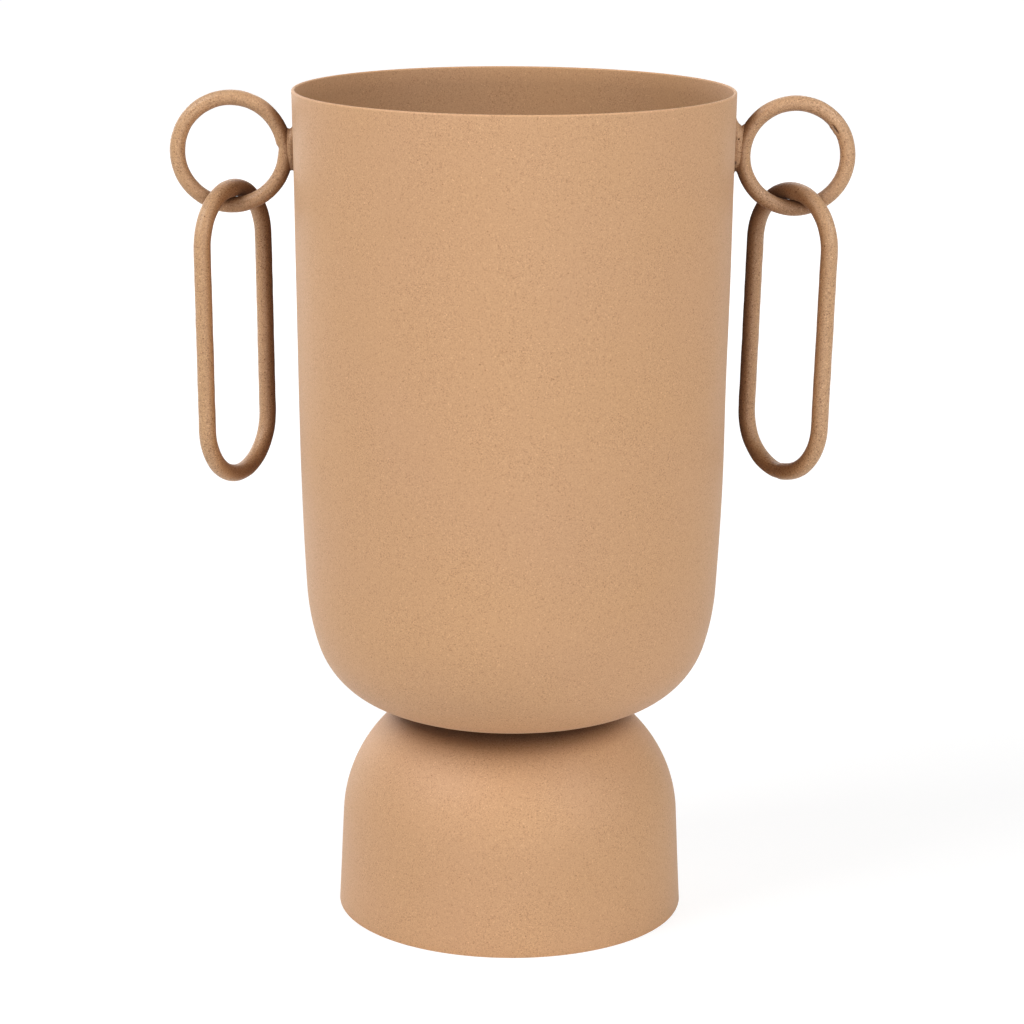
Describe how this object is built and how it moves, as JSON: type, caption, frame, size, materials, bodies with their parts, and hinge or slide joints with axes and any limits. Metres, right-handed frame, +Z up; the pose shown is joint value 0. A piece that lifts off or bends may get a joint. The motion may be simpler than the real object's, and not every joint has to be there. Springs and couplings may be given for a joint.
{
  "type": "urn vase",
  "caption": "Footed metal urn vase: a tall tapered bowl on an open domed foot, with a welded ring and a loose hanging link at each side.",
  "frame": {"origin": "centre of the bounding box's underside, which is the centre of the foot's base on the vase's axis", "axes": "+Z up along the vase's axis, +X from the left ring to the right ring, +Y from front to back"},
  "size_m": [0.2417, 0.1562, 0.3],
  "materials": {
    "sheet_coat": "matt fine-textured powder coat, tan",
    "rod_coat": "matt fine-textured powder coat, tan",
    "weld_coat": "matt powder coat over rough weld, tan"
  },
  "bodies": {
    "urn": {"bowl_shell": "sheet_coat", "foot_shell": "sheet_coat", "neck_weld": "weld_coat", "ring_left": "rod_coat", "ring_right": "rod_coat", "ring_weld_left": "weld_coat", "ring_weld_right": "weld_coat"},
    "link_left": {"link_left": "rod_coat"},
    "link_right": {"link_right": "rod_coat"}
  },
  "joints": [
    {"name": "link_left_swing", "type": "hinge", "parent": "urn", "child": "link_left", "pos_m": [-0.09962, 0, 0.25855], "axis": [1, 0, 0], "range_deg": [-90, 90]},
    {"name": "link_right_swing", "type": "hinge", "parent": "urn", "child": "link_right", "pos_m": [0.09916, 0, 0.2586], "axis": [1, 0, 0], "range_deg": [-90, 90]}
  ]
}
